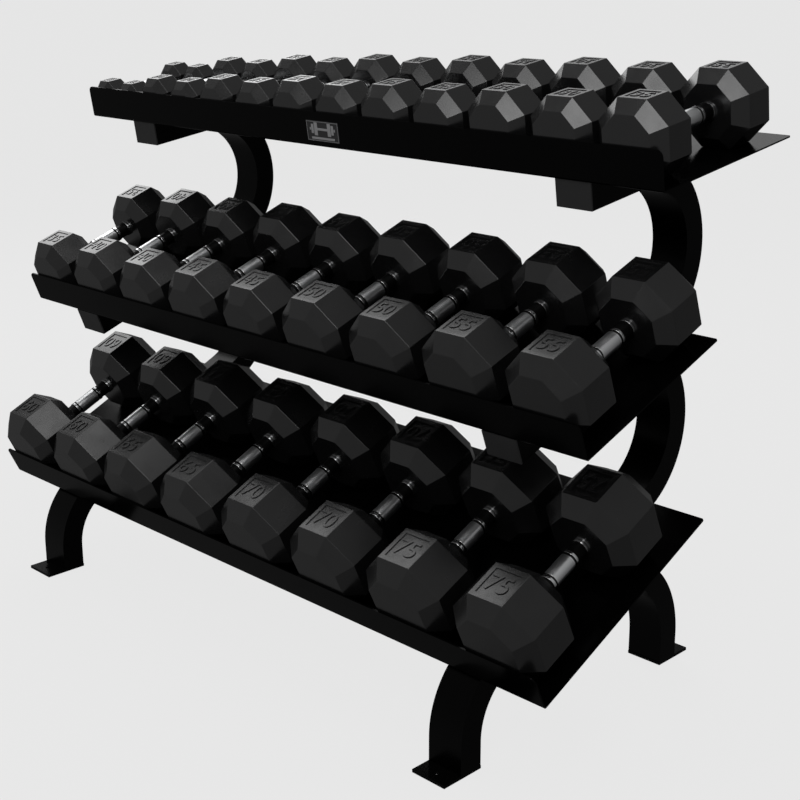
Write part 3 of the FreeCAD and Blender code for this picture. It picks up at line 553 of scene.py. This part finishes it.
def make_panel_tree():
    """Sinks the panel in the top flat, adds the figures, and makes the opposite head."""
    tree, given, result = new_shape_tree("Numbered pair", (
        ("Across Flats", "Float"), ("Head Middle", "Float"), ("Panel Share", "Float"),
        ("Panel Depth", "Float"), ("Figure Height", "Float"), ("Number", "String"),
        ("Finish", "Material")))
    facing = add(tree, "ShaderNodeSeparateXYZ")
    wire(tree, add(tree, "GeometryNodeInputNormal").outputs[0], facing.inputs[0])
    is_top = sum_of(tree, "GREATER_THAN", facing.outputs["Z"], LEVEL_FACE)
    border = add(tree, "GeometryNodeExtrudeMesh", individual=False)
    wire(tree, given["Geometry"], border.inputs["Mesh"])
    wire(tree, is_top, border.inputs["Selection"])
    border.inputs["Offset Scale"].default_value = 0.0
    inset = add(tree, "GeometryNodeScaleElements")
    wire(tree, border.outputs["Mesh"], inset.inputs["Geometry"])
    wire(tree, border.outputs["Top"], inset.inputs["Selection"])
    wire(tree, given["Panel Share"], inset.inputs["Scale"])
    sunk = add(tree, "GeometryNodeExtrudeMesh", individual=False)
    wire(tree, inset.outputs[0], sunk.inputs["Mesh"])
    wire(tree, border.outputs["Top"], sunk.inputs["Selection"])
    wire(tree, sum_of(tree, "MULTIPLY", given["Panel Depth"], -1.0), sunk.inputs["Offset Scale"])
    near = join_shapes(tree, sunk.outputs["Mesh"], make_figures(tree, given))
    far = place_shape(tree, near, turn=(0, 0, math.pi))
    real = add(tree, "GeometryNodeRealizeInstances")
    wire(tree, join_shapes(tree, near, far), real.inputs[0])
    smooth = add(tree, "GeometryNodeSetShadeSmooth")
    wire(tree, real.outputs[0], smooth.inputs["Geometry"])
    finished = add(tree, "GeometryNodeSetMaterial")
    wire(tree, smooth.outputs[0], finished.inputs["Geometry"])
    wire(tree, given["Finish"], finished.inputs["Material"])
    wire(tree, finished.outputs[0], result.inputs[0])
    return tree


urethane, cast_tree, cast_shader = new_material("charcoal_urethane", specular_ior_level=0.6)
cast_skin = use_group(cast_tree, skin_group, dimple_size=0.0011, cloud_size=0.045)
cast_dust = use_group(cast_tree, dust_group, amount=0.25, patch_size=0.03)
blend_colour(cast_tree, cast_skin.outputs["Clouds"], URETHANE_DARK, URETHANE_PALE,
             cast_shader.inputs["Base Color"])
cast_clouds = sum_of(
    cast_tree, "MULTIPLY_ADD", cast_dust.outputs["Mask"], DUST_DULLING, cast_skin.outputs["Clouds"])
spread(cast_tree, cast_clouds, URETHANE_ROUGHNESS, cast_shader.inputs["Roughness"])
raise_surface(cast_tree, cast_skin.outputs["Dimples"], cast_shader, strength=0.08, depth=0.00006)

block_tree = make_block_tree()
panel_tree = make_panel_tree()
dumbbells = sorted(name for name in nodes if name.startswith("dumbbell_"))


def stance(dumbbell):
    """Where a dumbbell lies: on its middle, square to its tray."""
    tier = dumbbell.split("_")[1]
    return Matrix.Translation(middle_of(dumbbell)) @ Matrix.Rotation(tilt_of(tier), 4, "X")


for dumbbell in dumbbells:
    lowest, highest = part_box(dumbbell)
    flats = highest.x - lowest.x
    straight = flats * STRAIGHT_SHARE
    bevel = flats * BEVEL_SHARE
    pounds = dumbbell.split("_")[3].removesuffix("lb")
    heads = new_piece(dumbbell + "_heads", bpy.data.meshes.new(dumbbell + "_heads"), (urethane,))
    shape_with(heads, block_tree, {
        "Across Flats": flats, "Straight": straight, "Bevel": bevel, "Inner Face": GRIP_LENGTH / 2})
    round_edges(heads, HEAD_ROUNDING, steps=3, sharper_than=20)
    shape_with(heads, panel_tree, {
        "Across Flats": flats, "Head Middle": GRIP_LENGTH / 2 + bevel + straight / 2,
        "Panel Share": PANEL_SHARE, "Panel Depth": flats * PANEL_DEPTH_SHARE,
        "Figure Height": flats * FIGURE_SHARE, "Number": pounds, "Finish": urethane})
    round_edges(heads, FIGURE_ROUNDING, steps=2, sharper_than=60)
    even_shading(heads)
    settle(heads)
    heads.data.transform(stance(dumbbell))
    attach(heads, dumbbell)
    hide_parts(dumbbell)

# ---- dumbbell handles ----------------------------------------------------
# The handle is a turned steel bar pressed into both heads. The grip, the
# ring and the collar at the head are chromed; the band between them is black, and
# the groove is painted black as shade. The grip has a very fine knurl under the chrome.

GRIP_RADIUS = 0.0160
HANDLE_ROUNDING = 0.0010
FACES_AROUND = 64
CHROMED = 0
# The second finish is the band's own black, and also black painted into the groove as shade.
BLACK_BAND_AND_GROOVE_SHADE = 1
# Where each part of one half ends, its radius and its finish: the grip, the
# groove, the ring, the band, the collar, and the spigot inside the head.
PROFILE = (
    (0.0260, GRIP_RADIUS, CHROMED),
    # The groove's black finish is painted shade.
    (0.0290, 0.01425, BLACK_BAND_AND_GROOVE_SHADE),
    (0.0350, 0.0165, CHROMED),
    (0.0585, 0.0150, BLACK_BAND_AND_GROOVE_SHADE),
    (0.0633, 0.0170, CHROMED),
    (0.0915, 0.0130, CHROMED))
CHROME = (0.80, 0.81, 0.82, 1)
CHROME_CLOUD = 0.02
CHROME_DULLNESS = 0.12
CLOUD_DULLING = 0.15
KNURL_PITCH = 0.0014
KNURL_REACH = 0.0245
KNURL_DULLING = 0.12
# The band's black, also used as painted shade in the groove.
BAND_BLACK_AND_GROOVE_SHADE = (0.002, 0.002, 0.002, 1)
BAND_ROUGHNESS = (0.35, 0.5)
BAND_CLOUD = 0.01


def turned_bar(profile, around):
    """Turns a bar about Y, the same at both ends, with a map of metres around and along."""
    steps = []
    before = 0.0
    for reach, radius, finish in profile:
        steps.append((before, reach, radius, finish))
        before = reach
    steps = [(-end, -start, radius, finish) for start, end, radius, finish in reversed(steps)] + steps
    shape = bmesh.new()
    layer = shape.loops.layers.uv.new("Around")
    girth = 2 * math.pi * GRIP_RADIUS

    def ring_at(along, radius):
        ring = []
        for step in range(around):
            turn = 2 * math.pi * step / around
            ring.append(shape.verts.new((radius * math.cos(turn), along, radius * math.sin(turn))))
        return ring

    rings = []
    for start, end, radius, finish in steps:
        rings.append((ring_at(start, radius), finish))
        rings.append((ring_at(end, radius), finish))
    for (first, finish), (second, other) in zip(rings, rings[1:]):
        for step in range(around):
            after = (step + 1) % around
            face = shape.faces.new((first[step], first[after], second[after], second[step]))
            face.material_index = max(finish, other)
            marks = ((step, first), (step + 1, first), (step + 1, second), (step, second))
            for loop, (place, ring) in zip(face.loops, marks):
                loop[layer].uv = (girth * place / around, ring[0].co.y)
    shape.faces.new(rings[0][0])
    shape.faces.new(list(reversed(rings[-1][0])))
    bmesh.ops.remove_doubles(shape, verts=shape.verts, dist=TOUCHING)
    bmesh.ops.recalc_face_normals(shape, faces=shape.faces)
    mesh = bpy.data.meshes.new("turned_bar")
    shape.to_mesh(mesh)
    shape.free()
    return mesh


chrome, chrome_tree, chrome_shader = new_material("chromed_handle", metallic=1.0, base_color=CHROME)
chrome_skin = use_group(chrome_tree, skin_group, cloud_size=CHROME_CLOUD)
unrolled = add(chrome_tree, "ShaderNodeUVMap", uv_map="Around")
run = add(chrome_tree, "ShaderNodeSeparateXYZ")
wire(chrome_tree, unrolled.outputs[0], run.inputs[0])
ridges = []
for operation in ("ADD", "SUBTRACT"):
    slant = sum_of(chrome_tree, operation, run.outputs["X"], run.outputs["Y"])
    ridges.append(sum_of(chrome_tree, "PINGPONG", slant, KNURL_PITCH / 2))
diamonds = sum_of(chrome_tree, "MINIMUM", ridges[0], ridges[1])
from_middle = sum_of(chrome_tree, "ABSOLUTE", run.outputs["Y"], 0.0)
on_grip = sum_of(chrome_tree, "LESS_THAN", from_middle, KNURL_REACH)
satin = sum_of(chrome_tree, "MULTIPLY_ADD", on_grip, KNURL_DULLING, CHROME_DULLNESS)
dullness = sum_of(chrome_tree, "MULTIPLY_ADD", chrome_skin.outputs["Clouds"], CLOUD_DULLING, satin)
wire(chrome_tree, dullness, chrome_shader.inputs["Roughness"])
ridged_grip = sum_of(chrome_tree, "MULTIPLY", diamonds, on_grip)
knurl = sum_of(chrome_tree, "MULTIPLY", ridged_grip, 2 / KNURL_PITCH)
raise_surface(chrome_tree, knurl, chrome_shader, strength=0.12, depth=0.00008)
# The black band's finish, which also paints shade into the groove.
band_black_and_groove_shade = clouded_finish(
    "blackened_band", BAND_BLACK_AND_GROOVE_SHADE, COAT_BLACK, BAND_ROUGHNESS, BAND_CLOUD, specular_ior_level=0.12)

for dumbbell in dumbbells:
    handle = new_piece(dumbbell + "_handle", turned_bar(PROFILE, FACES_AROUND), (chrome, band_black_and_groove_shade))
    round_edges(handle, HANDLE_ROUNDING, steps=3, sharper_than=60)
    even_shading(handle)
    settle(handle)
    handle.data.transform(stance(dumbbell))
    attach(handle, dumbbell)
    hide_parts(dumbbell)

# ---- studio --------------------------------------------------------------
# A pale floor that runs into a pale background, and four soft lights: in front
# on the right, behind on the left, overhead in front, and high on the left.

WHITE = (1, 1, 1, 1)
FLOOR_REACH = 40
FLOOR_SQUARES = 8
FLOOR_DROP = 0.0006
FLOOR_GLOW = 0.775
FLOOR_PAINT = (0.045, 0.045, 0.045, 1)
BACKGROUND = (0.80, 0.80, 0.80, 1)
# The fill light from all round is dark on one side and bright on the other. A
# direction's product with BRIGHT_SIDE, plus FILL_MIDDLE, makes it dark at the
# first of FILL_ENDS and bright at the second.
FILL_DARK = (0.11, 0.11, 0.11, 1)
FILL_BRIGHT = (0.29, 0.29, 0.29, 1)
FILL_ENDS = (0.30, 0.62)
FILL_MIDDLE = 0.50
BRIGHT_SIDE = (0.05, -0.30, 0.28)

floor_shape = bmesh.new()
bmesh.ops.create_grid(
    floor_shape, x_segments=FLOOR_SQUARES, y_segments=FLOOR_SQUARES, size=FLOOR_REACH)
floor_mesh = bpy.data.meshes.new("studio_floor")
floor_shape.to_mesh(floor_mesh)
floor_shape.free()
floor_mesh.transform(Matrix.Translation((0, 0, -FLOOR_DROP)))
floor_paint = bpy.data.materials.new("pale_floor")
floor_paint.use_nodes = True
floor_tree = floor_paint.node_tree
floor_tree.nodes.clear()
glow = add(floor_tree, "ShaderNodeEmission", color=WHITE, strength=FLOOR_GLOW)
matt = add(floor_tree, "ShaderNodeBsdfDiffuse", color=FLOOR_PAINT)
both = add(floor_tree, "ShaderNodeAddShader")
wire(floor_tree, glow.outputs[0], both.inputs[0])
wire(floor_tree, matt.outputs[0], both.inputs[1])
wire(floor_tree, both.outputs[0], add(floor_tree, "ShaderNodeOutputMaterial").inputs["Surface"])
floor = new_piece("studio_floor", floor_mesh, (floor_paint,))
floor.visible_diffuse = False
floor.visible_glossy = False
floor.visible_transmission = False

world = bpy.data.worlds.new("studio")
bpy.context.scene.world = world
world.use_nodes = True
sky = world.node_tree
sky.nodes.clear()
seen = add(sky, "ShaderNodeBackground", color=BACKGROUND, strength=1.0)
fill = add(sky, "ShaderNodeBackground", strength=1.0)
direction = add(sky, "ShaderNodeTexCoord")
towards = add(sky, "ShaderNodeVectorMath", operation="DOT_PRODUCT")
wire(sky, direction.outputs["Generated"], towards.inputs[0])
towards.inputs[1].default_value = BRIGHT_SIDE
ramp = add(sky, "ShaderNodeValToRGB")
for end, place, colour in zip(ramp.color_ramp.elements, FILL_ENDS, (FILL_DARK, FILL_BRIGHT)):
    end.position = place
    end.color = colour
wire(sky, sum_of(sky, "ADD", towards.outputs["Value"], FILL_MIDDLE), ramp.inputs["Fac"])
wire(sky, ramp.outputs["Color"], fill.inputs["Color"])
path = add(sky, "ShaderNodeLightPath")
choice = add(sky, "ShaderNodeMixShader")
wire(sky, path.outputs["Is Camera Ray"], choice.inputs[0])
wire(sky, fill.outputs[0], choice.inputs[1])
wire(sky, seen.outputs[0], choice.inputs[2])
wire(sky, choice.outputs[0], add(sky, "ShaderNodeOutputWorld").inputs["Surface"])


def softbox(name, spot, target, width, height, brightness, roll=0.0):
    """A rectangular soft light aimed at a point. Brightness is for each square metre."""
    lamp = bpy.data.lights.new(name, "AREA")
    lamp.shape = "RECTANGLE"
    lamp.size = width
    lamp.size_y = height
    lamp.energy = brightness * width * height
    box = bpy.data.objects.new(name, lamp)
    bpy.context.scene.collection.objects.link(box)
    aim = (Vector(target) - Vector(spot)).to_track_quat("-Z", "Y")
    box.matrix_world = (
        Matrix.Translation(spot) @ aim.to_matrix().to_4x4() @ Matrix.Rotation(math.radians(roll), 4, "Z"))
    box.visible_camera = False


softbox("front_right_box", spot=(1.9, -2.7, 3.3), target=(0.2, 0, 0.8),
        width=2.2, height=1.3, brightness=14.0, roll=35)
softbox("rear_left_box", spot=(-2.0, 3.2, 3.1), target=(0.3, 0, 0.95),
        width=2.8, height=1.55, brightness=3.0)
softbox("overhead_box", spot=(0.6, -0.62, 3.4), target=(0.6, -0.62, 0),
        width=1.7, height=0.9, brightness=8.0)
softbox("left_box", spot=(-2.76, 1.19, 3.22), target=(0.24, -0.16, 0.92),
        width=2.2, height=3.2, brightness=9.0)

CAMERA_SPOT = (2.121, -1.931, 1.359)
CAMERA_TURN = math.radians(44.62)
CAMERA_DROP = math.radians(16.01)
FOCAL_LENGTH = 65.28
SHIFT_ACROSS = -0.0115
SHIFT_UP = -0.0415

lens = bpy.data.cameras.new("camera")
lens.lens = FOCAL_LENGTH
lens.shift_x = SHIFT_ACROSS
lens.shift_y = SHIFT_UP
camera = bpy.data.objects.new("camera", lens)
bpy.context.scene.collection.objects.link(camera)
camera.location = CAMERA_SPOT
camera.rotation_euler = (math.pi / 2 - CAMERA_DROP, 0, CAMERA_TURN)
bpy.context.scene.camera = camera
bpy.context.scene.view_settings.view_transform = "Standard"
